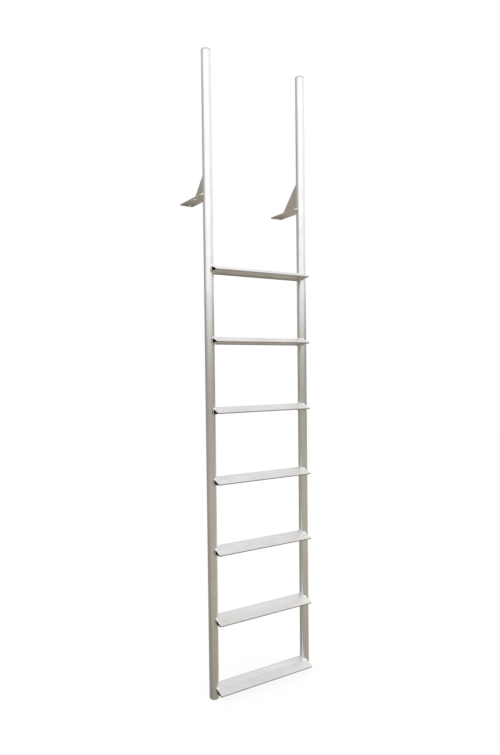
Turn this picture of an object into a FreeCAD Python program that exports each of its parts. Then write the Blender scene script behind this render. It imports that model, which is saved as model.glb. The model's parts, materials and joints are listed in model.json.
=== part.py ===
"""Fixed dock ladder: two round rails, seven wide hollow treads and two deck brackets.

Millimetres. X runs across the ladder from the left rail to the right one, Y from the user
towards the dock, and Z up. The origin is on the underside of the left bracket plate, at the
middle of that plate, which is the face that lies on the deck.
"""
import FreeCAD
import Part
import math
import os

# Driving sizes of the whole ladder
overall_width = 539.75
rail_diameter = 42.2
rail_wall = 3.2
ladder_height = 2794.0
handrail_rise = 616.0

# Treads
tread_count = 7
tread_pitch = 304.8
lowest_tread_rise = 50.8
tread_depth = 88.9
tread_rear_overhang = 28.0
tread_flat_depth = 43.0
tread_nose_drop = 18.0
tread_nose_lip = 4.8
tread_rear_height = 30.5
tread_wall = 2.5
tread_edge_radius = 1.2
tread_crest_radius = 25.0
tread_end_setback = 2.5
rib_width = 2.0
rib_top_width = 1.0
rib_height = 0.7
rib_pitch = 7.6
rib_edge_margin = 5.5
rib_root = 0.5

# Deck brackets
bracket_reach = 222.25
plate_width = 63.5
plate_thickness = 4.76
plate_corner_radius = 4.0
web_thickness = 4.76
web_height = 121.0
web_length = 112.0
web_tip = 4.0
web_offset = 5.5
bolt_hole_diameter = 11.1
outer_hole_offset = 18.0
outer_hole_from_rail = 82.5
inner_hole_offset = 7.0
inner_hole_from_rail = 178.0

# Rail end caps
cap_height = 9.0
cap_edge_radius = 7.0
cap_spigot_length = 12.0
cap_clearance = 0.1

# Weld seams
weld_leg = 5.0
fit_up_gap = 0.25

# Places worked out from the driving sizes
rail_radius = rail_diameter / 2
rail_spacing = overall_width - rail_diameter
plate_length = bracket_reach - rail_radius
rail_y = -plate_length / 2
left_rail_x = 0.0
right_rail_x = rail_spacing
middle_x = rail_spacing / 2
top_z = handrail_rise
foot_z = handrail_rise - ladder_height
lowest_tread_z = foot_z + lowest_tread_rise
plate_top_z = plate_thickness
tread_nose_y = rail_y + tread_rear_overhang - tread_depth
tread_rear_y = rail_y + tread_rear_overhang
tread_crest_y = tread_rear_y - tread_flat_depth

UP = FreeCAD.Vector(0, 0, 1)


def vec(x, y, z):
    return FreeCAD.Vector(x, y, z)


def prism_along_x(profile, x_start, x_end):
    """Extrude a closed outline, given as (y, z) points, from x_start to x_end."""
    points = [vec(x_start, y, z) for y, z in profile]
    face = Part.Face(Part.makePolygon(points + points[:1]))
    return face.extrude(vec(x_end - x_start, 0, 0))


def turned(profile, x, y):
    """Revolve a closed outline, given as (radius, z) points, about an upright axis at (x, y)."""
    points = [vec(radius, 0, z) for radius, z in profile]
    face = Part.Face(Part.makePolygon(points + points[:1]))
    solid = face.revolve(vec(0, 0, 0), UP, 360)
    solid.translate(vec(x, y, 0))
    return solid


# Rails: plain round tube between the two end caps

def rail(x):
    bottom = foot_z + cap_height
    height = ladder_height - 2 * cap_height
    outer = Part.makeCylinder(rail_radius, height, vec(x, rail_y, bottom))
    bore = Part.makeCylinder(rail_radius - rail_wall, height, vec(x, rail_y, bottom))
    return outer.cut(bore)


def end_cap(x, seat_z, direction):
    """Domed cap with a spigot in the tube; direction is 1 at the top and -1 at the foot."""
    spigot_radius = rail_radius - rail_wall - cap_clearance
    shoulder = cap_height - cap_edge_radius
    bend = cap_edge_radius * (1 - math.sqrt(0.5))
    profile = [
        (0, -cap_spigot_length),
        (spigot_radius, -cap_spigot_length),
        (spigot_radius, 0),
        (rail_radius, 0),
        (rail_radius, shoulder),
        (rail_radius - bend, cap_height - bend),
        (rail_radius - cap_edge_radius, cap_height),
        (0, cap_height),
    ]
    cap = turned(profile, 0, 0)
    if direction < 0:
        cap.rotate(vec(0, 0, 0), vec(1, 0, 0), 180)
    cap.translate(vec(x, rail_y, seat_z))
    return cap


# Treads: one hollow extrusion with a sloping nose, ribs on its walking faces and both ends
# cut to the round of the rails

def tread_outline(inset):
    """Section at tread top height zero as (y, z) points, moved in by inset on every side."""
    nose_top = (tread_nose_y, -tread_nose_drop)
    crest = (tread_crest_y, 0.0)
    rear_top = (tread_rear_y, 0.0)
    rear_bottom = (tread_rear_y, -tread_rear_height)
    nose_bottom = (tread_nose_y, -tread_nose_drop - tread_nose_lip)
    points = [vec(0, y, z) for y, z in (nose_top, crest, rear_top, rear_bottom, nose_bottom)]
    wire = Part.makePolygon(points + points[:1])
    if inset:
        wire = wire.makeOffset2D(-inset, 2)
    return wire


def rib_places():
    """Place of each rib and the direction of the face under it: y, z, run_y, run_z."""
    slope_length = math.hypot(tread_crest_y - tread_nose_y, tread_nose_drop)
    slope = ((tread_crest_y - tread_nose_y) / slope_length, tread_nose_drop / slope_length)
    flat_count = int((tread_flat_depth - 2 * rib_edge_margin) / rib_pitch) + 1
    slope_count = int((slope_length - 2 * rib_edge_margin) / rib_pitch) + 1
    places = []
    for index in range(flat_count):
        places.append((tread_rear_y - rib_edge_margin - index * rib_pitch, 0.0, 1.0, 0.0))
    for index in range(slope_count):
        along = rib_edge_margin + index * rib_pitch
        y = tread_nose_y + slope[0] * along
        z = -tread_nose_drop + slope[1] * along
        places.append((y, z, slope[0], slope[1]))
    return places


def rib(y, z, run_y, run_z, x_start, x_end):
    """Low tapered bar; (run_y, run_z) is the direction of the face that it stands on."""
    section = [
        (-rib_width / 2, -rib_root),
        (rib_width / 2, -rib_root),
        (rib_width / 2, 0),
        (rib_top_width / 2, rib_height),
        (-rib_top_width / 2, rib_height),
        (-rib_width / 2, 0),
    ]
    placed = [(y + a * run_y - up * run_z, z + a * run_z + up * run_y) for a, up in section]
    return prism_along_x(placed, x_start, x_end)


def long_edges(solid, y, z):
    """Edges along X that lie at (y, z)."""
    found = []
    for edge in solid.Edges:
        ends = [vertex.Point for vertex in edge.Vertexes]
        if len(ends) == 2 and abs(ends[0].x - ends[1].x) > tread_depth:
            if all(math.hypot(p.y - y, p.z - z) < tread_wall / 2 for p in ends):
                found.append(edge)
    return found


def rail_cutter(clearance, z_low, z_high):
    """Both rails as solid bars, wider by a clearance, to cut what is fitted to them."""
    bars = []
    for x in (left_rail_x, right_rail_x):
        base = vec(x, rail_y, z_low)
        bars.append(Part.makeCylinder(rail_radius + clearance, z_high - z_low, base))
    return bars


def tread():
    """One tread with its top face at height zero."""
    x_start = left_rail_x + tread_end_setback
    x_end = right_rail_x - tread_end_setback
    across = vec(x_end - x_start, 0, 0)
    bar = Part.Face(tread_outline(0)).extrude(across)
    bar.translate(vec(x_start, 0, 0))
    bar = bar.makeFillet(tread_crest_radius, long_edges(bar, tread_crest_y, 0))
    for corner in (
        (tread_nose_y, -tread_nose_drop),
        (tread_nose_y, -tread_nose_drop - tread_nose_lip),
        (tread_rear_y, 0.0),
        (tread_rear_y, -tread_rear_height),
    ):
        bar = bar.makeFillet(tread_edge_radius, long_edges(bar, *corner))
    ribs = [rib(*place, x_start, x_end) for place in rib_places()]
    bar = bar.fuse(ribs).removeSplitter()
    hollow = Part.Face(tread_outline(tread_wall)).extrude(across)
    hollow.translate(vec(x_start, 0, 0))
    bar = bar.cut(hollow)
    for cutter in rail_cutter(fit_up_gap, -2 * tread_rear_height, tread_rear_height):
        bar = bar.cut(cutter)
    return bar


# Weld seams: fillets that join each tread end and each bracket to its rail

def ring_weld(x, z_base):
    """Three-cornered fillet ring round a rail, standing on a level face at z_base."""
    section = [
        (rail_radius, z_base),
        (rail_radius + weld_leg, z_base),
        (rail_radius, z_base + weld_leg),
    ]
    return turned(section, x, rail_y)


def tread_weld(x):
    """Seam on a tread end, over the ribs, for a tread top at height zero."""
    ring = ring_weld(x, rib_height)
    toward_middle = 1 if x < middle_x else -1
    seat_x = x + toward_middle * tread_end_setback
    box_x = min(seat_x, seat_x + toward_middle * rail_diameter)
    box = Part.makeBox(
        rail_diameter,
        tread_rear_y - tread_crest_y,
        2 * weld_leg,
        vec(box_x, tread_crest_y, 0),
    )
    return ring.common(box)


# Deck brackets: a level plate coped round the back half of the rail, and an upright web

def upright_edges(solid):
    """Edges that run straight up."""
    found = []
    for edge in solid.Edges:
        low, high = [vertex.Point for vertex in edge.Vertexes]
        if math.hypot(high.x - low.x, high.y - low.y) < abs(high.z - low.z):
            found.append(edge)
    return found


def bracket_plate(x, outward):
    """Plate with two staggered bolt holes; outward is -1 on the left and 1 on the right."""
    plate = Part.makeBox(
        plate_width,
        plate_length,
        plate_thickness,
        vec(x - plate_width / 2, rail_y, 0),
    )
    plate = plate.makeFillet(plate_corner_radius, upright_edges(plate))
    for cutter in rail_cutter(fit_up_gap, -plate_thickness, 2 * plate_thickness):
        plate = plate.cut(cutter)
    for across, back in (
        (outward * outer_hole_offset, outer_hole_from_rail),
        (-outward * inner_hole_offset, inner_hole_from_rail),
    ):
        base = vec(x + across, rail_y + back, -plate_thickness)
        plate = plate.cut(Part.makeCylinder(bolt_hole_diameter / 2, 3 * plate_thickness, base))
    return plate


def bracket_web(web_x):
    """Triangular web on the plate, against the back of the rail; web_x is its middle."""
    rail_back = rail_y + rail_radius
    profile = [
        (rail_y, plate_top_z),
        (rail_back + web_length, plate_top_z),
        (rail_back + web_length, plate_top_z + web_tip),
        (rail_back + web_tip, plate_top_z + web_height),
        (rail_y, plate_top_z + web_height),
    ]
    web = prism_along_x(profile, web_x - web_thickness / 2, web_x + web_thickness / 2)
    for cutter in rail_cutter(fit_up_gap, 0, web_height + 2 * plate_thickness):
        web = web.cut(cutter)
    return web


def seam_along(section_points, direction):
    """Straight fillet seam: a three-cornered section swept along a direction."""
    face = Part.Face(Part.makePolygon(section_points + section_points[:1]))
    return face.extrude(direction)


def web_to_rail_weld(x, web_x, side):
    """Upright seam in the corner between one face of the web and the rail at x."""
    face_x = web_x + side * web_thickness / 2
    touch_y = rail_y + math.sqrt(rail_radius ** 2 - (face_x - x) ** 2)
    start_z = plate_top_z + weld_leg
    section = [
        vec(face_x, rail_y, start_z),
        vec(face_x + side * 2 * weld_leg, rail_y, start_z),
        vec(face_x, touch_y + weld_leg, start_z),
    ]
    seam = seam_along(section, vec(0, 0, web_height - weld_leg - web_tip))
    for cutter in rail_cutter(0, 0, web_height + 2 * plate_thickness):
        seam = seam.cut(cutter)
    return seam


def web_to_plate_weld(web_x, side):
    """Level seam along the foot of the web, on one side."""
    face_x = web_x + side * web_thickness / 2
    section = [
        vec(face_x, rail_y, plate_top_z),
        vec(face_x + side * weld_leg, rail_y, plate_top_z),
        vec(face_x, rail_y, plate_top_z + weld_leg),
    ]
    seam = seam_along(section, vec(0, rail_radius + web_length - web_tip, 0))
    for cutter in rail_cutter(0, 0, web_height):
        seam = seam.cut(cutter)
    return seam


def plate_to_rail_weld(x, web_x):
    """Seam round the back half of the rail on top of the plate, up to the seams of the web."""
    ring = ring_weld(x, plate_top_z)
    web_zone = web_thickness / 2 + weld_leg
    seams = []
    for low_x, high_x in (
        (x - plate_width / 2, web_x - web_zone),
        (web_x + web_zone, x + plate_width / 2),
    ):
        corner = vec(low_x, rail_y, plate_top_z)
        box = Part.makeBox(high_x - low_x, rail_diameter, 2 * weld_leg, corner)
        seams.append(ring.common(box))
    return seams


def make_parts():
    parts = {}
    tread_shape = tread()
    for side, x, outward in (("left", left_rail_x, -1), ("right", right_rail_x, 1)):
        web_x = x - outward * web_offset
        parts[side + "_rail"] = rail(x)
        caps = [end_cap(x, top_z - cap_height, 1), end_cap(x, foot_z + cap_height, -1)]
        parts[side + "_rail_caps"] = Part.makeCompound(caps)
        parts[side + "_bracket_plate"] = bracket_plate(x, outward)
        parts[side + "_bracket_web"] = bracket_web(web_x)
        seams = [web_to_plate_weld(web_x, -1), web_to_plate_weld(web_x, 1)]
        parts[side + "_bracket_foot_welds"] = Part.makeCompound(seams)
        seams = [web_to_rail_weld(x, web_x, -1), web_to_rail_weld(x, web_x, 1)]
        parts[side + "_bracket_upright_welds"] = Part.makeCompound(seams)
        parts[side + "_bracket_rail_welds"] = Part.makeCompound(plate_to_rail_weld(x, web_x))
    for number in range(1, tread_count + 1):
        rise = lowest_tread_z + (tread_count - number) * tread_pitch
        placed = tread_shape.copy()
        placed.translate(vec(0, 0, rise))
        parts["tread_%d" % number] = placed
        welds = Part.makeCompound([tread_weld(left_rail_x), tread_weld(right_rail_x)])
        welds.translate(vec(0, 0, rise))
        parts["tread_%d_welds" % number] = welds
    return parts


def main():
    os.makedirs("parts", exist_ok=True)
    for name, shape in make_parts().items():
        if not shape.isValid():
            raise RuntimeError("invalid shape: " + name)
        print(name, len(shape.Solids), round(shape.Volume))
        shape.exportStep("parts/%s.step" % name)


main()
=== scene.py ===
"""Looks of a fixed dock ladder: satin aluminium, ribbed treads, rippled weld seams, studio light.

Metres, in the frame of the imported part: X runs across the ladder, Y towards the dock, Z up.
"""

import json
import math
from collections import namedtuple

import bmesh
import bpy
from mathutils import Matrix, Vector, noise


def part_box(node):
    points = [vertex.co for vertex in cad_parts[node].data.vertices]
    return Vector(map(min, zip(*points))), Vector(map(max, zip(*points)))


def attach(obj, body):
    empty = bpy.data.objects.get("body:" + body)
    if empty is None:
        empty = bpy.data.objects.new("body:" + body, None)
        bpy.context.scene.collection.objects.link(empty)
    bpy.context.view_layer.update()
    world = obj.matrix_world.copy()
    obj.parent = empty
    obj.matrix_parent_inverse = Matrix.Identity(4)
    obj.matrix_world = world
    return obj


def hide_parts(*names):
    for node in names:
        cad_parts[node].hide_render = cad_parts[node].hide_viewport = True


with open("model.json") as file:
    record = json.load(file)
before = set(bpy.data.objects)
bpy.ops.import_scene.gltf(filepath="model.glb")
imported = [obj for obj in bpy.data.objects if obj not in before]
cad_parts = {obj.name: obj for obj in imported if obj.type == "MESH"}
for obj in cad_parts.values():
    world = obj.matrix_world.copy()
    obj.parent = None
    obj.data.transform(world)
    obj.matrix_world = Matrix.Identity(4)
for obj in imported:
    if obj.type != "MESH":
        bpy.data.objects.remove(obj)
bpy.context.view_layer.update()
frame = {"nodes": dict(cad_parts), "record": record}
nodes = frame["nodes"]

MM = 0.001
SIDES = ("left", "right")
UP = Vector((0, 0, 1))

# Camera, from the rail and tread edges of the photograph
PHOTO_WIDTH = 500
PHOTO_HEIGHT = 755
FOCAL_LENGTH_PX = 615.4
PRINCIPAL_POINT_PX = (239.5, 387.6)
CAMERA_PLACE = Vector((-1.2916, -2.4167, -0.7413))
CAMERA_HEADING = math.radians(31.87)
CAMERA_TILT = math.radians(-1.73)
CAMERA_ROLL = math.radians(-0.68)
SENSOR_HEIGHT_MM = 36.0
CAMERA_RANGE = 200

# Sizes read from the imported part
rail_low, rail_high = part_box("left_rail")
RAIL_RADIUS = (rail_high.x - rail_low.x) / 2
RAIL_Y = (rail_high.y + rail_low.y) / 2
RAIL_X = {side: sum(corner.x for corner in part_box(side + "_rail")) / 2 for side in SIDES}
RAIL_BOTTOM = rail_low.z
RAIL_TOP = rail_high.z
FOOT_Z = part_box("left_rail_caps")[0].z
TOP_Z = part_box("left_rail_caps")[1].z
TREADS = sorted(name for name in nodes if name.startswith("tread_") and name[6:].isdigit())
tread_low, tread_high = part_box(TREADS[0])
NOSE_Y = tread_low.y
REAR_Y = tread_high.y
plate_low, plate_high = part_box("left_bracket_plate")
PLATE_TOP = plate_high.z
PLATE_HALF = (plate_high.x - plate_low.x) / 2
PLATE_END = plate_high.y
WEB_X = {side: sum(corner.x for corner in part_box(side + "_bracket_web")) / 2 for side in SIDES}
web_low, web_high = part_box("left_bracket_web")
WEB_HALF = (web_high.x - web_low.x) / 2
WEB_END = web_high.y
WEB_TOP = web_high.z

# Distance from the axis of a rail at which the front of a tread is cut off
SETBACK = tread_low.x - RAIL_X["left"]

# Sizes of the rails, treads, seams and plates, as in the part
RAIL_WALL = 3.2 * MM
CAP_ROUND = 7 * MM
RIB_HEIGHT = 0.7 * MM
RIB_PITCH = 7.6 * MM
RIB_MARGIN = 5.5 * MM
FLAT_DEPTH = 43 * MM
NOSE_DROP = 18.0 * MM
NOSE_LIP = 4.8 * MM
REAR_HEIGHT = 30.5 * MM
TREAD_WALL = 2.5 * MM
EDGE_RADIUS = 1.2 * MM
CREST_RADIUS = 25 * MM
FIT_GAP = 0.25 * MM
WELD_LEG = 5 * MM
PLATE_FAR_CORNER = 4 * MM
CREST_Y = REAR_Y - FLAT_DEPTH
SLOPE = NOSE_DROP / (CREST_Y - NOSE_Y)
UNDER_SLOPE = (REAR_HEIGHT - NOSE_DROP - NOSE_LIP) / (REAR_Y - NOSE_Y)

# Corners and broken edges of the pieces made here
PLATE_NEAR_CORNER = 14 * MM
TUBE_EDGE = 0.4 * MM
TREAD_CHAMFER = 0.3 * MM
INNER_NOSE_RADIUS = 0.5 * MM
INNER_REAR_RADIUS = 1.5 * MM
BROKEN_EDGE = 0.6 * MM
BROKEN_EDGE_STEPS = 3
BROKEN_EDGE_ANGLE = math.radians(40)

# Half of a rounded rib from its root inwards, in mm: distance from its middle line, and height
RIB_HALF = [
    (1.30, 0.00),
    (1.08, 0.04),
    (0.95, 0.13),
    (0.63, 0.55),
    (0.53, 0.64),
    (0.40, 0.69),
    (0.24, 0.70),
]

# Courses of the seams: angles round a rail from inward X, and lengths left free or run over
TREAD_SEAM_START = math.radians(82)
RING_SEAM_START = math.radians(-1)
RING_SEAM_GAP = 1 * MM
FOOT_SEAM_GAP = 3 * MM
UPRIGHT_SEAM_LIFT = 0.5 * MM
UPRIGHT_SEAM_GAP = 2 * MM
END_SEAM_OVERRUN = 0.5 * MM

# Legs of the seam down a cut tread end, as shares of a full leg
END_SEAM_ON_OPENING = 0.3
END_SEAM_ON_RAIL = 0.5

# Form of a bead: ripples and crown as shares of its leg, and its size along the run
RIPPLE_PITCH = 2.6 * MM
RIPPLE_HEIGHT = 0.030
RIPPLE_BEND = 0.55
CROWN = 0.10
BEAD_SINK = 0.12 * MM
TAPER_LEGS = 0.8
END_SIZE = 0.45
SIZE_GAINED = 0.55
MEAN_SIZE = 0.96
SIZE_WANDER = 0.08
SIZE_WANDER_LENGTH = 8 * MM
PITCH_WANDER = 0.5
PITCH_WANDER_LENGTH = 5 * MM

# Places in the noise that the beads read
SIZE_LAYER = 0.5
PITCH_LAYER = 7.5
SEED_PER_RUN = 3.1
SEED_PER_METRE_UP = 5

# Fineness of the meshes
TURN_STEPS = 96
CAP_STEPS = 10
SECTION_ARC_DEGREES = 9
SECTION_ARC_LEAST = 3
SECTION_STEP = 1.5 * MM
SEAM_STEP = 0.4 * MM
BEAD_ACROSS = 9
NEAR_CORNER_STEPS = 12
FAR_CORNER_STEPS = 8
COPE_STEPS = 40
HOLE_STEPS = 64
JOIN_DISTANCE = 0.001 * MM
MERGE_DISTANCE = 0.01 * MM
SHARP_ANGLE = math.radians(34)

# How bright the wall of each bolt hole is in the photograph, for the left and the right plate
# That brightness is a painted highlight on the hole walls
HOLE_PAINTED_HIGHLIGHT = {"outer_bolts": (1.0, 0.25), "inner_bolts": (0.5, 0.2)}

# Layers of the metal's texture: scale per metre, range of the noise, colour and share
CLOUD_SCALE = 9.0
CLOUD_RANGE = (0.3, 0.75)
CLOUD_TINT = (0.93, 0.92, 0.905)
LINE_RANGE = (0.25, 0.8)
LINE_COLOUR = (0.45, 0.44, 0.42)
LINE_SHARE = 0.06
SCRATCH_RANGE = (0.66, 0.74)
SCRATCH_COLOUR = (0.95, 0.95, 0.94)
SCRATCH_SHARE = 0.10
SPECK_SCALE = 900.0

# How many times finer than the drawn lines the scratches are
SCRATCH_FINENESS = 2.5

# Roughness and height that the layers add, and what is taken off the roughness for it
CLOUD_ROUGHENING = 0.12
LINE_ROUGHENING = 0.08
ROUGHNESS_ALLOWANCE = 0.09
SPECK_HEIGHT = 0.35
BUMP_STRENGTH = 0.35

# Part of the normal along X at which a face starts to take the painted shade of the cut ends, and
# takes it fully
END_SHADE_RANGE = (0.75, 0.95)

# Painted highlight on a hole's wall: none at the first distance past the radius, and full at the
# second
HOLE_NO_HIGHLIGHT = 0.5 * MM
HOLE_FULL_HIGHLIGHT = 0.2 * MM
HOLE_HIGHLIGHT_COLOUR = (1.0, 1.0, 0.99)
HOLE_POLISH = 0.28

# Headings of the studio light, clockwise from +Y: away from the camera, and to either side
AWAY_HEADING = math.radians(32.2)
DARK_HEADING = AWAY_HEADING - math.radians(64)
RIGHT_HEADING = AWAY_HEADING + math.radians(70)

# Colours of the studio light, whose sky is brighter than white
GROUND_BELOW = (0.32, 0.27, 0.21)
GROUND_SLANTING = (0.53, 0.49, 0.425)
GROUND_AWAY = (0.73, 0.66, 0.57)
GROUND_DARK = (0.20, 0.17, 0.13)
GROUND_LEVEL = (0.42, 0.385, 0.33)
SKY_NEAR = (1.36, 1.36, 1.37)
SKY_AWAY = (1.08, 1.08, 1.09)
SKY_RIGHT = (1.12, 1.12, 1.13)
DARK_STRETCH = (0.375, 0.36, 0.325)

# Where each of those colours comes in: height, or share of a heading, at none and at full
SLANTING_HEIGHTS = (-0.56, -0.33)
LEVEL_HEIGHTS = (-0.17, -0.07)
GROUND_AWAY_RANGE = (0.1, 0.8)
GROUND_AWAY_MOST = 0.64
GROUND_DARK_RANGE = (-0.2, 0.8)
GROUND_DARK_HEIGHTS = (-0.1, -0.5)
SKY_AWAY_RANGE = (-0.3, 0.6)
SKY_RIGHT_RANGE = (0.2, 0.9)
DARK_STRETCH_RANGE = (0.08, 1.15)
DARK_STRETCH_HEIGHTS = (1.1, 0.28)

# Heights between which ground passes into sky, and how much higher that is to the right
HORIZON = (0.03, 0.13)
HORIZON_LIFT = 0.05
HORIZON_LIFT_RANGE = (0.5, 1.0)

# Floor
FLOOR_HALF = 40.0
FLOOR_GAP = 0.1 * MM
FLOOR_GRAIN_SCALE = 3.0
FLOOR_COLOURS = ((0.93, 0.93, 0.93), (0.96, 0.96, 0.96))
FLOOR_GLOW = 0.9

WHITE = (1, 1, 1, 1)

# A dark band comes in along Y from start to end, and from the first to the second of two slants; the
# bands under the treads and plates and on the nose lips are painted shade
DarkBand = namedtuple("DarkBand", "start end colour slants")


# Node graphs

class Graph:
    """Adds nodes to a tree; an input given as a socket is linked, and any other is set."""

    def __init__(self, tree):
        self.tree = tree
        tree.nodes.clear()

    def add(self, kind, inputs=None, **settings):
        node = self.tree.nodes.new(kind)
        for name, value in settings.items():
            setattr(node, name, value)
        for key, value in (inputs or {}).items():
            if isinstance(value, bpy.types.NodeSocket):
                self.tree.links.new(value, node.inputs[key])
            else:
                node.inputs[key].default_value = value
        return node

    def math(self, operation, first, second=0.0):
        return self.add("ShaderNodeMath", {0: first, 1: second}, operation=operation).outputs[0]

    def ease(self, value, start, end, low=0.0, high=1.0):
        """Smooth step of value from low at start to high at end."""
        inputs = {"Value": value, 1: start, 2: end, 3: low, 4: high}
        node = self.add("ShaderNodeMapRange", inputs, interpolation_type="SMOOTHSTEP")
        return node.outputs["Result"]

    def blend(self, factor, first, second):
        """Mix of two colours, each a socket or its red, green and blue."""
        inputs = {0: factor}
        for key, colour in ((6, first), (7, second)):
            linked = isinstance(colour, bpy.types.NodeSocket)
            inputs[key] = colour if linked else colour + (1,)
        return self.add("ShaderNodeMix", inputs, data_type="RGBA").outputs[2]

    def noise(self, place, scale, detail=3.0, roughness=0.5, distortion=0.0):
        inputs = {
            "Vector": place,
            "Scale": scale,
            "Detail": detail,
            "Roughness": roughness,
            "Distortion": distortion,
        }
        return self.add("ShaderNodeTexNoise", inputs).outputs["Fac"]

    def stretched(self, place, scale):
        return self.add("ShaderNodeMapping", {"Vector": place, "Scale": scale}).outputs[0]

    def toward(self, place, heading):
        """How much a direction points to a level heading, from -1 to 1."""
        side = Vector((math.sin(heading), math.cos(heading), 0))
        node = self.add("ShaderNodeVectorMath", {0: place, 1: side}, operation="DOT_PRODUCT")
        return node.outputs["Value"]


def bolt_holes():
    """Place along X and Y, radius and strength of the painted highlight on the wall of each hole, by
    side, from the record's mounts.
    """
    holes = {side: [] for side in SIDES}
    for mount in frame["record"]["mounts"]:
        if mount["kind"] == "bolt_pattern":
            x, y, _ = mount["pos_m"]
            half = mount["dims"]["spacing_x_mm"] / 2 * MM
            radius = mount["dims"]["hole_r_mm"] * MM
            for side, hand, highlight_strength in zip(SIDES, (-1, 1), HOLE_PAINTED_HIGHLIGHT[mount["name"]]):
                holes[side].append((x + hand * half, y, radius, highlight_strength))
    return holes


def metal(name, colour, roughness, grain, grain_depth, dark_bands=(), painted_end_shade=None, holes=()):
    """Satin aluminium; grain is the scale of its drawn lines along X, Y and Z, per metre.

    Each dark band that the metal is given darkens it towards the band's colour by the place along Y
    and by the upward part of the surface's normal; the bands under the treads and plates and on the
    nose lips are painted shade. Ends cut across X take painted shade in the colour given for them.
    The walls of holes get a painted highlight.
    """
    material = bpy.data.materials.new(name)
    material.use_nodes = True
    graph = Graph(material.node_tree)
    place = graph.add("ShaderNodeTexCoord").outputs["Object"]
    lines = graph.noise(graph.stretched(place, grain), 1.0, detail=4.0, roughness=0.6)
    clouds = graph.noise(place, CLOUD_SCALE, detail=4.0, roughness=0.6, distortion=0.4)
    specks = graph.noise(place, SPECK_SCALE, detail=2.0)
    scratch_grain = tuple(SCRATCH_FINENESS * value for value in grain)
    scratch_place = graph.stretched(place, scratch_grain)
    scratches = graph.noise(scratch_place, 1.0, detail=1.0, distortion=0.8)
    scratches = graph.ease(scratches, *SCRATCH_RANGE)
    shaded = tuple(part * tint for part, tint in zip(colour, CLOUD_TINT))
    base = graph.blend(graph.ease(clouds, *CLOUD_RANGE), colour, shaded)
    base = graph.blend(graph.ease(lines, *LINE_RANGE, 0.0, LINE_SHARE), base, LINE_COLOUR)
    base = graph.blend(graph.math("MULTIPLY", scratches, SCRATCH_SHARE), base, SCRATCH_COLOUR)
    along = graph.add("ShaderNodeSeparateXYZ", {0: place}).outputs["Y"]
    facing = graph.add("ShaderNodeNewGeometry").outputs["Normal"]
    facing_x, _, facing_up = graph.add("ShaderNodeSeparateXYZ", {0: facing}).outputs
    # Dark bands, among them painted shade under the treads and plates and on the nose lips
    for start, end, band_colour, slants in dark_bands:
        blotchy = graph.math("MULTIPLY", graph.math("SUBTRACT", clouds, 0.5), (end - start) / 2)
        band_share = graph.ease(graph.math("ADD", along, blotchy), start, end)
        band_share = graph.math("MULTIPLY", band_share, graph.ease(facing_up, *slants))
        base = graph.blend(band_share, base, band_colour)
    # Painted shade on the ends cut across X
    if painted_end_shade:
        cut = graph.ease(graph.math("ABSOLUTE", facing_x), *END_SHADE_RANGE)
        base = graph.blend(cut, base, painted_end_shade)
    cloud_part = graph.math("MULTIPLY", clouds, CLOUD_ROUGHENING)
    rough = graph.math("ADD", roughness - ROUGHNESS_ALLOWANCE, cloud_part)
    rough = graph.math("ADD", rough, graph.math("MULTIPLY", lines, LINE_ROUGHENING))
    # Painted highlight on the wall of each hole; the wall is also given a smoother finish
    for x, y, radius, highlight_strength in holes:
        from_middle = graph.add(
            "ShaderNodeVectorMath", {0: place, 1: (x, y, 0)}, operation="SUBTRACT"
        ).outputs[0]
        level = graph.stretched(from_middle, (1, 1, 0))
        out = graph.add("ShaderNodeVectorMath", {0: level}, operation="LENGTH").outputs["Value"]
        wall = graph.ease(out, radius + HOLE_NO_HIGHLIGHT, radius + HOLE_FULL_HIGHLIGHT, 0.0, highlight_strength)
        base = graph.blend(wall, base, HOLE_HIGHLIGHT_COLOUR)
        rough = graph.math("SUBTRACT", rough, graph.math("MULTIPLY", wall, HOLE_POLISH))
    height = graph.math("ADD", lines, graph.math("MULTIPLY", specks, SPECK_HEIGHT))
    bump = graph.add(
        "ShaderNodeBump", {"Strength": BUMP_STRENGTH, "Distance": grain_depth, "Height": height}
    )
    shader = graph.add(
        "ShaderNodeBsdfPrincipled",
        {"Base Color": base, "Metallic": 1.0, "Roughness": rough, "Normal": bump.outputs[0]},
    )
    graph.add("ShaderNodeOutputMaterial", {"Surface": shader.outputs[0]})
    return material


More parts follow.
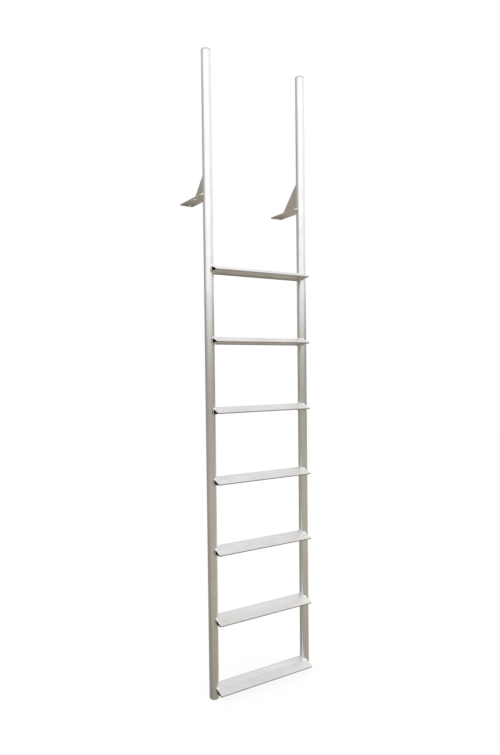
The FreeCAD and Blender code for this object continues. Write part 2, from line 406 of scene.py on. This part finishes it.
def make_materials():
    """Metals of the pieces, by name; slants are the upward part of the normal at none and full."""
    fine = 1400.0
    medium = 500.0
    rolled_along = 60.0
    drawn_along = 5.0
    drawn_up = (fine, fine, drawn_along)
    drawn_across = (drawn_along, fine, fine)
    rolled = (fine, rolled_along, fine)
    even = (medium, medium, medium)
    below = (-0.4, -0.8)
    not_on_top = (0.6, 0.3)
    anywhere = (2.0, 1.1)
    # Painted shade under each plate, growing towards its far end
    far_end_shade = DarkBand(RAIL_Y + 70 * MM, PLATE_END, (0.36, 0.37, 0.33), below)
    # A darker band along the rear edge of each tread, on every face
    rear_edge = DarkBand(REAR_Y - 11 * MM, REAR_Y - 5 * MM, (0.66, 0.655, 0.65), anywhere)
    # Painted shade on the underside of each tread, darker towards the rear
    rear_under_shade = DarkBand(REAR_Y - 55 * MM, REAR_Y - 10 * MM, (0.42, 0.405, 0.38), below)
    # Painted shade on the nose lip of each tread and the faces below it, not on the walking face
    nose_lip_shade = DarkBand(NOSE_Y + 1.5 * MM, NOSE_Y + 0.5 * MM, (0.38, 0.37, 0.355), not_on_top)
    return {
        "rail": metal(
            "rail_aluminium",
            colour=(0.80, 0.80, 0.80),
            roughness=0.20,
            grain=drawn_up,
            grain_depth=0.04 * MM,
        ),
        "cap": metal(
            "cap_aluminium",
            colour=(0.61, 0.61, 0.60),
            roughness=0.42,
            grain=even,
            grain_depth=0.05 * MM,
        ),
        "tread": metal(
            "tread_aluminium",
            colour=(0.795, 0.79, 0.785),
            roughness=0.44,
            grain=drawn_across,
            grain_depth=0.06 * MM,
            dark_bands=[rear_edge, rear_under_shade, nose_lip_shade],
            # Painted shade on the cut ends of the tread
            painted_end_shade=(0.22, 0.215, 0.20),
        ),
        "plate": metal(
            "plate_aluminium",
            colour=(0.76, 0.74, 0.71),
            roughness=0.40,
            grain=rolled,
            grain_depth=0.05 * MM,
            dark_bands=[far_end_shade],
            holes=HOLES["left"] + HOLES["right"],
        ),
        "web": metal(
            "web_aluminium",
            colour=(0.63, 0.60, 0.55),
            roughness=0.40,
            grain=rolled,
            grain_depth=0.05 * MM,
        ),
        "weld": metal(
            "weld_aluminium",
            colour=(0.83, 0.83, 0.82),
            roughness=0.34,
            grain=even,
            grain_depth=0.12 * MM,
        ),
    }


# Meshes

def piece(name, mesh, material, replaced=()):
    """Puts a finished mesh on the ladder as a piece of its own."""
    mesh.polygons.foreach_set("use_smooth", [True] * len(mesh.polygons))
    mesh.set_sharp_from_angle(angle=SHARP_ANGLE)
    mesh.materials.append(MATERIALS[material])
    made = bpy.data.objects.new(name, mesh)
    bpy.context.scene.collection.objects.link(made)
    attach(made, "root")
    if replaced:
        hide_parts(*replaced)
    return made


def mesh_from(name, points, faces):
    mesh = bpy.data.meshes.new(name)
    mesh.from_pydata(points, [], faces)
    mesh.update()
    return mesh


def tidy_mesh(mesh):
    """Joins points that coincide and turns every face outward."""
    work = bmesh.new()
    work.from_mesh(mesh)
    bmesh.ops.remove_doubles(work, verts=work.verts, dist=JOIN_DISTANCE)
    bmesh.ops.recalc_face_normals(work, faces=work.faces)
    work.to_mesh(mesh)
    work.free()


def shaped_piece(name, points, faces, material, replaced=()):
    mesh = mesh_from(name, points, faces)
    tidy_mesh(mesh)
    piece(name, mesh, material, replaced)


def joined(shapes):
    """Points and faces of several shapes as those of one."""
    points = []
    faces = []
    for new_points, new_faces in shapes:
        shift = len(points)
        points += new_points
        faces += [tuple(index + shift for index in face) for face in new_faces]
    return points, faces


def ring_faces(rows, count, closed=True):
    """Quads between rows of count points each; closed also joins the last row to the first."""
    faces = []
    for row in range(rows if closed else rows - 1):
        here = row * count
        there = (row + 1) % rows * count
        for index in range(count):
            after = (index + 1) % count
            faces.append((here + index, here + after, there + after, there + index))
    return faces


def turned(outline, x):
    """Points and faces of a (radius, z) outline turned about the axis of a rail."""
    closed = outline[0][0] > 0
    points = []
    for radius, z in outline:
        for step in range(TURN_STEPS):
            angle = 2 * math.pi * step / TURN_STEPS
            points.append((x + radius * math.cos(angle), RAIL_Y + radius * math.sin(angle), z))
    return points, ring_faces(len(outline), TURN_STEPS, closed)


# Rails and their domed caps

def rail_tube(side):
    bore = RAIL_RADIUS - RAIL_WALL
    outline = [
        (bore, RAIL_BOTTOM),
        (RAIL_RADIUS - TUBE_EDGE, RAIL_BOTTOM),
        (RAIL_RADIUS, RAIL_BOTTOM + TUBE_EDGE),
        (RAIL_RADIUS, RAIL_TOP - TUBE_EDGE),
        (RAIL_RADIUS - TUBE_EDGE, RAIL_TOP),
        (bore, RAIL_TOP),
    ]
    points, faces = turned(outline, RAIL_X[side])
    shaped_piece(side + "_rail_tube", points, faces, "rail", [side + "_rail"])


def cap_outline(seat, tip):
    """Dome from its seat on the tube to its tip, as (radius, z), from axis to axis."""
    toward = 1 if tip > seat else -1
    outline = [
        (0, seat),
        (RAIL_RADIUS - TUBE_EDGE, seat),
        (RAIL_RADIUS, seat + toward * TUBE_EDGE),
    ]
    for step in range(CAP_STEPS + 1):
        angle = math.pi / 2 * step / CAP_STEPS
        outline.append((
            RAIL_RADIUS - CAP_ROUND * (1 - math.cos(angle)),
            tip - toward * CAP_ROUND * (1 - math.sin(angle)),
        ))
    outline.append((0, tip))
    return outline


def rail_caps(side):
    ends = ((RAIL_TOP, TOP_Z), (RAIL_BOTTOM, FOOT_Z))
    domes = [turned(cap_outline(seat, tip), RAIL_X[side]) for seat, tip in ends]
    points, faces = joined(domes)
    shaped_piece(side + "_rail_domes", points, faces, "cap", [side + "_rail_caps"])


# Treads: ribbed hollow extrusions with rounded corners, cut to the round of the rails

def left_of(direction):
    """Outward side of the section, whose corners run clockwise."""
    return Vector((-direction.y, direction.x))


def rounded_section(corners, radii):
    """Straight runs of a closed section, and its arcs as lists of (point, outward normal)."""
    count = len(corners)
    runs = []
    arcs = []
    starts = []
    stops = []
    for index, corner in enumerate(corners):
        before = (corner - corners[index - 1]).normalized()
        after = (corners[(index + 1) % count] - corner).normalized()
        turn = before.angle(after)
        tangent = radii[index] * math.tan(turn / 2)
        centre = corner - before * tangent - left_of(before) * radii[index]
        steps = max(SECTION_ARC_LEAST, round(math.degrees(turn) / SECTION_ARC_DEGREES))
        corner_arc = []
        for step in range(steps + 1):
            normal = left_of(before).slerp(left_of(after), step / steps)
            corner_arc.append((centre + normal * radii[index], normal))
        arcs.append(corner_arc)
        stops.append(corner - before * tangent)
        starts.append(corner + after * tangent)
    for index in range(count):
        runs.append((starts[index], stops[(index + 1) % count]))
    return runs, arcs


def ribbed_run(start, end, places):
    """Points of a straight run with ribs whose middles are at the given distances."""
    direction = (end - start).normalized()
    normal = left_of(direction)
    length = (end - start).length
    marks = [(0.0, 0.0), (length, 0.0)]
    for place in places:
        for out, height in RIB_HALF:
            for mark in (place - out * MM, place + out * MM):
                if 0 < mark < length:
                    marks.append((mark, height * MM))
    marks.sort()
    points = []
    for (here, height), (there, _) in zip(marks, marks[1:]):
        pieces = max(1, math.ceil((there - here) / SECTION_STEP))
        points.append((start + direction * here + normal * height, normal))
        for step in range(1, pieces):
            points.append((start + direction * (here + (there - here) * step / pieces), normal))
    return points[1:]


def rib_count(span):
    return int((span - 2 * RIB_MARGIN) / RIB_PITCH) + 1


def meeting(first, second):
    """Corner where two lines meet, each given as a point and a direction."""
    (start, along), (other_start, other_along) = first, second
    cross = along.x * other_along.y - along.y * other_along.x
    gap = other_start - start
    return start + along * ((gap.x * other_along.y - gap.y * other_along.x) / cross)


def nearest_on(chain, point):
    """Nearest point to a given one on a closed chain of points."""
    best = None
    for index, end in enumerate(chain):
        start = chain[index - 1]
        run = end - start
        along = 0.0
        if run.length_squared > 0:
            along = min(1.0, max(0.0, (point - start).dot(run) / run.length_squared))
        found = start + run * along
        if best is None or (found - point).length < (best - point).length:
            best = found
    return best


def tread_section():
    """Outer points with normals, and the point of the inner wall that faces each of them."""
    corners = [
        Vector((NOSE_Y, -NOSE_DROP)),
        Vector((CREST_Y, 0)),
        Vector((REAR_Y, 0)),
        Vector((REAR_Y, -REAR_HEIGHT)),
        Vector((NOSE_Y, -NOSE_DROP - NOSE_LIP)),
    ]
    nose, crest, rear_edge = corners[:3]
    nose_run, flat_run = 0, 1
    radii = [EDGE_RADIUS, CREST_RADIUS, EDGE_RADIUS, EDGE_RADIUS, EDGE_RADIUS]
    runs, arcs = rounded_section(corners, radii)
    outer = []
    for index, (start, end) in enumerate(runs):
        outer += arcs[index]
        length = (end - start).length
        places = []
        if index == nose_run:
            tangent = (start - nose).length
            count = rib_count((crest - nose).length)
            places = [RIB_MARGIN + step * RIB_PITCH - tangent for step in range(count)]
        if index == flat_run:
            tangent = (rear_edge - end).length
            count = rib_count(FLAT_DEPTH)
            places = [length + tangent - RIB_MARGIN - step * RIB_PITCH for step in range(count)]
        outer += ribbed_run(start, end, places)
    walls = []
    for first, second in zip(corners, corners[1:]):
        direction = (second - first).normalized()
        walls.append((first - left_of(direction) * TREAD_WALL, direction))
    slope, flat, rear, under = walls
    inner_corners = [
        meeting(under, slope),
        meeting(slope, flat),
        meeting(flat, rear),
        meeting(rear, under),
    ]
    inner_radii = [
        INNER_NOSE_RADIUS,
        CREST_RADIUS - TREAD_WALL,
        INNER_REAR_RADIUS,
        INNER_REAR_RADIUS,
    ]
    _, inner_arcs = rounded_section(inner_corners, inner_radii)
    chain = [point for inner_arc in inner_arcs for point, _ in inner_arc]
    inner = [nearest_on(chain, point) for point, _ in outer]
    return outer, inner


def end_of_tread(y):
    """Distance from the axis of a rail at which a tread ends, at a place along Y."""
    reach = (RAIL_RADIUS + FIT_GAP) ** 2 - (y - RAIL_Y) ** 2
    return max(SETBACK, math.sqrt(max(0.0, reach)))


def tread_points(top):
    """Rows of points round the section: left end, right end and back inside the tread."""
    outer, inner = SECTION
    full = [point for point, _ in outer]
    through_wall = [
        (point - facing).normalized() * TREAD_CHAMFER for facing, point in zip(inner, full)
    ]
    eased = [point - step for point, step in zip(full, through_wall)]
    inner_eased = [point + step for point, step in zip(inner, through_wall)]
    layers = [(inner, TREAD_CHAMFER), (inner_eased, 0), (eased, 0), (full, TREAD_CHAMFER)]
    rows = []
    for section, back in layers:
        rows.append([
            (RAIL_X["left"] + end_of_tread(point.x) + back, point.x, top + point.y)
            for point in section
        ])
    for section, back in reversed(layers):
        rows.append([
            (RAIL_X["right"] - end_of_tread(point.x) - back, point.x, top + point.y)
            for point in section
        ])
    return rows


def tread_extrusion(name):
    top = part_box(name)[1].z - RIB_HEIGHT
    rows = tread_points(top)
    points = [point for row in rows for point in row]
    faces = ring_faces(len(rows), len(rows[0]))
    shaped_piece(name + "_extrusion", points, faces, "tread", [name])


# Weld seams: convex beads with crescent ripples

def bead(stations, seed):
    """Points and faces of a bead; a station is a corner with the directions of its two faces."""
    lengths = [0.0]
    for (here, _, _), (before, _, _) in zip(stations[1:], stations):
        lengths.append(lengths[-1] + (here - before).length)
    total = lengths[-1]
    points = []
    for (corner, first, second), along in zip(stations, lengths):
        wander = noise.noise(Vector((along / SIZE_WANDER_LENGTH, seed, SIZE_LAYER)))
        slip = noise.noise(Vector((along / PITCH_WANDER_LENGTH, seed, PITCH_LAYER)))
        ends = min(along, total - along) / (TAPER_LEGS * WELD_LEG)
        grown = END_SIZE + SIZE_GAINED * math.sqrt(min(1.0, ends))
        size = WELD_LEG * grown * (MEAN_SIZE + SIZE_WANDER * wander)
        points.append(corner - (first + second) * BEAD_SINK)
        for step in range(BEAD_ACROSS):
            share = step / (BEAD_ACROSS - 1)
            arch = math.sin(math.pi * share)
            phase = along / RIPPLE_PITCH + PITCH_WANDER * slip - RIPPLE_BEND * arch
            ripple = math.cos(2 * math.pi * phase) * RIPPLE_HEIGHT * math.sqrt(arch)
            out = CROWN * arch + ripple * min(1.0, ends)
            points.append(corner + size * (first * (1 - share + out) + second * (share + out)))
    count = BEAD_ACROSS + 1
    rows = len(stations)
    faces = ring_faces(rows, count, closed=False)
    faces.append(tuple(reversed(range(count))))
    faces.append(tuple((rows - 1) * count + index for index in range(count)))
    return points, faces


def beads(name, runs, replaced=()):
    """One piece of several beads; each run is a list of stations."""
    shapes = []
    for number, stations in enumerate(runs):
        begin = stations[0][0]
        seed = RAIL_Y + SEED_PER_RUN * number + begin.x + SEED_PER_METRE_UP * begin.z
        shapes.append(bead(stations, seed))
    points, faces = joined(shapes)
    shaped_piece(name, points, faces, "weld", replaced)


def steps_between(start, end, size):
    count = max(2, math.ceil(abs(end - start) / size))
    return [start + (end - start) * index / count for index in range(count + 1)]


def walking_height(y):
    """Height of the walking face over the tread top, without its ribs: zero or less."""
    lean = math.atan(SLOPE)
    tangent = CREST_RADIUS * math.tan(lean / 2)
    if y >= CREST_Y + tangent:
        return 0.0
    if y <= CREST_Y - tangent * math.cos(lean):
        return (y - CREST_Y) * SLOPE
    return math.sqrt(CREST_RADIUS ** 2 - (y - CREST_Y - tangent) ** 2) - CREST_RADIUS


def under_height(y):
    return -REAR_HEIGHT + (REAR_Y - y) * UNDER_SLOPE


def round_rail(side, inward, first_angle, last_angle, height_at, second):
    """Stations round a rail on a face whose height depends on Y; angle 0 is at inward X."""
    stations = []
    for angle in steps_between(first_angle, last_angle, SEAM_STEP / RAIL_RADIUS):
        reach = Vector((inward * math.cos(angle), math.sin(angle), 0))
        corner = Vector((RAIL_X[side], RAIL_Y, 0)) + RAIL_RADIUS * reach
        toe = corner + WELD_LEG * reach
        corner.z = height_at(corner.y)
        toe.z = height_at(toe.y)
        stations.append((corner, (toe - corner) / WELD_LEG, second))
    return stations


def tread_seams(name):
    """Seams round the rails on top of a tread and under it, joined down the cut of each end."""
    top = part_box(name)[1].z - RIB_HEIGHT
    on_opening = Vector((0, -END_SEAM_ON_OPENING, 0))
    upper = []
    lower = []
    begin = TREAD_SEAM_START
    last = -math.acos(SETBACK / RAIL_RADIUS)
    front_y = RAIL_Y + RAIL_RADIUS * math.sin(last)
    highest = top + walking_height(front_y) + END_SEAM_OVERRUN
    lowest = top + under_height(front_y) - END_SEAM_OVERRUN
    for side, inward in zip(SIDES, (1, -1)):
        upper.append(round_rail(side, inward, begin, last, lambda y: top + walking_height(y), UP))
        lower.append(round_rail(side, inward, begin, last, lambda y: top + under_height(y), -UP))
        end_x = RAIL_X[side] + inward * SETBACK
        on_rail = Vector((-END_SEAM_ON_RAIL * inward, 0, 0))
        upper.append([
            (Vector((end_x, front_y, z)), on_opening, on_rail)
            for z in steps_between(highest, lowest, SEAM_STEP)
        ])
    beads(name + "_seams", upper, [name + "_welds"])
    beads(name + "_under_seams", lower)


def bracket_seams(side):
    """Seams of the web's foot, of its upright edge on the rail, and of the plate round the rail."""
    foot = []
    upright = []
    ring = []
    for hand in (-1, 1):
        across = Vector((hand, 0, 0))
        face_x = WEB_X[side] + hand * WEB_HALF
        out = abs(face_x - RAIL_X[side])
        touch_y = RAIL_Y + math.sqrt(RAIL_RADIUS ** 2 - out ** 2)
        foot.append([
            (Vector((face_x, y, PLATE_TOP)), across, UP)
            for y in steps_between(touch_y, WEB_END - FOOT_SEAM_GAP, SEAM_STEP)
        ])
        toe_x = face_x + hand * WELD_LEG - RAIL_X[side]
        toe_y = RAIL_Y + math.sqrt(RAIL_RADIUS ** 2 - toe_x ** 2)
        along_rail = Vector((hand, (toe_y - touch_y) / WELD_LEG, 0))
        lowest = PLATE_TOP + UPRIGHT_SEAM_LIFT
        upright.append([
            (Vector((face_x, touch_y, z)), along_rail, Vector((0, 1, 0)))
            for z in steps_between(lowest, WEB_TOP - UPRIGHT_SEAM_GAP, SEAM_STEP)
        ])
        last = math.acos((hand * (face_x - RAIL_X[side]) + RING_SEAM_GAP) / RAIL_RADIUS)
        ring.append(round_rail(side, hand, RING_SEAM_START, last, lambda y: PLATE_TOP, UP))
    for part, runs in (("foot", foot), ("upright", upright), ("rail", ring)):
        name = "%s_bracket_%s" % (side, part)
        beads(name + "_seams", runs, [name + "_welds"])


# Brackets: a plate coped round the back of the rail, under the web as the part has it

def break_edges(shown):
    merged = shown.modifiers.new("merged", "WELD")
    merged.merge_threshold = MERGE_DISTANCE
    broken = shown.modifiers.new("broken_edges", "BEVEL")
    broken.width = BROKEN_EDGE
    broken.segments = BROKEN_EDGE_STEPS
    broken.limit_method = "ANGLE"
    broken.angle_limit = BROKEN_EDGE_ANGLE
    broken.harden_normals = True


def arc(x, y, radius, start, end, steps):
    """Points of an arc about a middle, from one angle to another."""
    points = []
    for step in range(steps + 1):
        angle = start + (end - start) * step / steps
        points.append((x + radius * math.cos(angle), y + radius * math.sin(angle)))
    return points


def plate_outline(x):
    """Plate seen from above: four rounded corners, and the cope round the back of the rail."""
    cope = RAIL_RADIUS + FIT_GAP
    near, far = PLATE_NEAR_CORNER, PLATE_FAR_CORNER
    inset = PLATE_HALF - near
    # The cope meets a near corner at the angle begin about the rail, and corner about its middle
    apart = math.hypot(inset, near)
    spread = math.acos((apart ** 2 + cope ** 2 - near ** 2) / (2 * apart * cope))
    begin = math.atan2(near, inset) - spread
    corner = math.atan2(cope * math.sin(begin) - near, cope * math.cos(begin) - inset)
    quarter = math.pi / 2
    near_y = RAIL_Y + near
    far_y = PLATE_END - far
    outline = arc(x + inset, near_y, near, corner, 0, NEAR_CORNER_STEPS)
    outline += arc(x + PLATE_HALF - far, far_y, far, 0, quarter, FAR_CORNER_STEPS)
    outline += arc(x - PLATE_HALF + far, far_y, far, quarter, 2 * quarter, FAR_CORNER_STEPS)
    outline += arc(x - inset, near_y, near, 2 * quarter, 2 * quarter - corner, NEAR_CORNER_STEPS)
    outline += arc(x, RAIL_Y, cope, math.pi - begin, begin, COPE_STEPS)[1:-1]
    return outline


def bracket_plate(side):
    loops = [plate_outline(RAIL_X[side])]
    for x, y, radius, _ in HOLES[side]:
        loops.append(arc(x, y, radius, 0, 2 * math.pi, HOLE_STEPS)[:-1])
    curve = bpy.data.curves.new(side + "_plate_outline", "CURVE")
    curve.dimensions = "2D"
    curve.fill_mode = "BOTH"
    curve.extrude = PLATE_TOP / 2
    for loop in loops:
        spline = curve.splines.new("POLY")
        spline.points.add(len(loop) - 1)
        for point, (x, y) in zip(spline.points, loop):
            point.co = (x, y, 0, 1)
        spline.use_cyclic_u = True
    drawn = bpy.data.objects.new(side + "_plate_outline", curve)
    mesh = bpy.data.meshes.new_from_object(drawn)
    bpy.data.objects.remove(drawn)
    mesh.transform(Matrix.Translation((0, 0, PLATE_TOP / 2)))
    mesh.materials.clear()
    tidy_mesh(mesh)
    name = side + "_bracket_plate"
    break_edges(piece(name + "_bar", mesh, "plate", [name]))


def finish_web(side):
    shown = nodes[side + "_bracket_web"]
    shown.data.materials.clear()
    shown.data.materials.append(MATERIALS["web"])
    break_edges(shown)


# Surroundings

def make_camera():
    forward = Vector((
        math.sin(CAMERA_HEADING) * math.cos(CAMERA_TILT),
        math.cos(CAMERA_HEADING) * math.cos(CAMERA_TILT),
        math.sin(CAMERA_TILT),
    ))
    level_right = Vector((math.cos(CAMERA_HEADING), -math.sin(CAMERA_HEADING), 0))
    level_up = level_right.cross(forward)
    right = math.cos(CAMERA_ROLL) * level_right + math.sin(CAMERA_ROLL) * level_up
    up = math.cos(CAMERA_ROLL) * level_up - math.sin(CAMERA_ROLL) * level_right
    data = bpy.data.cameras.new("photo_camera")
    data.sensor_fit = "VERTICAL"
    data.sensor_height = SENSOR_HEIGHT_MM
    data.lens = FOCAL_LENGTH_PX / PHOTO_HEIGHT * SENSOR_HEIGHT_MM
    data.shift_x = (PHOTO_WIDTH / 2 - PRINCIPAL_POINT_PX[0]) / PHOTO_HEIGHT
    data.shift_y = (PRINCIPAL_POINT_PX[1] - PHOTO_HEIGHT / 2) / PHOTO_HEIGHT
    data.clip_end = CAMERA_RANGE
    camera = bpy.data.objects.new("photo_camera", data)
    bpy.context.scene.collection.objects.link(camera)
    turn = Matrix((right, up, -forward)).transposed().to_4x4()
    camera.matrix_world = Matrix.Translation(CAMERA_PLACE) @ turn
    bpy.context.scene.camera = camera


def make_world():
    """White above, a little dimmer to the right, warm grey below, and a dark stretch to the left."""
    world = bpy.data.worlds.new("studio")
    bpy.context.scene.world = world
    world.use_nodes = True
    graph = Graph(world.node_tree)
    place = graph.add("ShaderNodeTexCoord").outputs["Generated"]
    height = graph.add("ShaderNodeSeparateXYZ", {0: place}).outputs["Z"]
    away = graph.toward(place, AWAY_HEADING)
    dark = graph.toward(place, DARK_HEADING)
    right = graph.toward(place, RIGHT_HEADING)
    ground = graph.blend(graph.ease(height, *SLANTING_HEIGHTS), GROUND_BELOW, GROUND_SLANTING)
    ground_away = graph.ease(away, *GROUND_AWAY_RANGE, 0.0, GROUND_AWAY_MOST)
    ground = graph.blend(ground_away, ground, GROUND_AWAY)
    ground_dark = graph.math(
        "MULTIPLY",
        graph.ease(dark, *GROUND_DARK_RANGE),
        graph.ease(height, *GROUND_DARK_HEIGHTS),
    )
    ground = graph.blend(ground_dark, ground, GROUND_DARK)
    ground = graph.blend(graph.ease(height, *LEVEL_HEIGHTS), ground, GROUND_LEVEL)
    sky = graph.blend(graph.ease(away, *SKY_AWAY_RANGE), SKY_NEAR, SKY_AWAY)
    sky = graph.blend(graph.ease(right, *SKY_RIGHT_RANGE), sky, SKY_RIGHT)
    lift = graph.ease(right, *HORIZON_LIFT_RANGE, 0.0, HORIZON_LIFT)
    over_horizon = graph.ease(graph.math("SUBTRACT", height, lift), *HORIZON)
    light = graph.blend(over_horizon, ground, sky)
    dark_stretch = graph.math(
        "MULTIPLY",
        graph.ease(dark, *DARK_STRETCH_RANGE),
        graph.ease(height, *DARK_STRETCH_HEIGHTS),
    )
    light = graph.blend(dark_stretch, light, DARK_STRETCH)
    studio = graph.add("ShaderNodeBackground", {"Color": light, "Strength": 1.0})
    backdrop = graph.add("ShaderNodeBackground", {"Color": WHITE, "Strength": 1.0})
    seen = graph.add("ShaderNodeLightPath").outputs["Is Camera Ray"]
    chosen = graph.add(
        "ShaderNodeMixShader", {0: seen, 1: studio.outputs[0], 2: backdrop.outputs[0]}
    )
    graph.add("ShaderNodeOutputWorld", {"Surface": chosen.outputs[0]})


def make_floor():
    """Pale floor at the feet of the rails; the metal reflects the studio and not the floor."""
    around = ((-1, -1), (1, -1), (1, 1), (-1, 1))
    corners = [(x * FLOOR_HALF, y * FLOOR_HALF, FOOT_Z - FLOOR_GAP) for x, y in around]
    mesh = mesh_from("floor", corners, [(0, 1, 2, 3)])
    material = bpy.data.materials.new("floor_paint")
    material.use_nodes = True
    graph = Graph(material.node_tree)
    place = graph.add("ShaderNodeTexCoord").outputs["Object"]
    grain = graph.noise(place, FLOOR_GRAIN_SCALE, detail=6.0)
    colour = graph.blend(grain, *FLOOR_COLOURS)
    lit = graph.add("ShaderNodeBsdfDiffuse", {"Color": colour})
    glow = graph.add("ShaderNodeEmission", {"Color": WHITE, "Strength": 1.0})
    shader = graph.add(
        "ShaderNodeMixShader", {0: FLOOR_GLOW, 1: lit.outputs[0], 2: glow.outputs[0]}
    )
    graph.add("ShaderNodeOutputMaterial", {"Surface": shader.outputs[0]})
    mesh.materials.append(material)
    floor = bpy.data.objects.new("floor", mesh)
    bpy.context.scene.collection.objects.link(floor)
    floor.visible_glossy = False
    floor.visible_diffuse = False


HOLES = bolt_holes()
MATERIALS = make_materials()
SECTION = tread_section()
for side in SIDES:
    rail_tube(side)
    rail_caps(side)
    bracket_plate(side)
    finish_web(side)
    bracket_seams(side)
for name in TREADS:
    tread_extrusion(name)
    tread_seams(name)
make_camera()
make_world()
make_floor()
bpy.context.scene.view_settings.view_transform = "Standard"
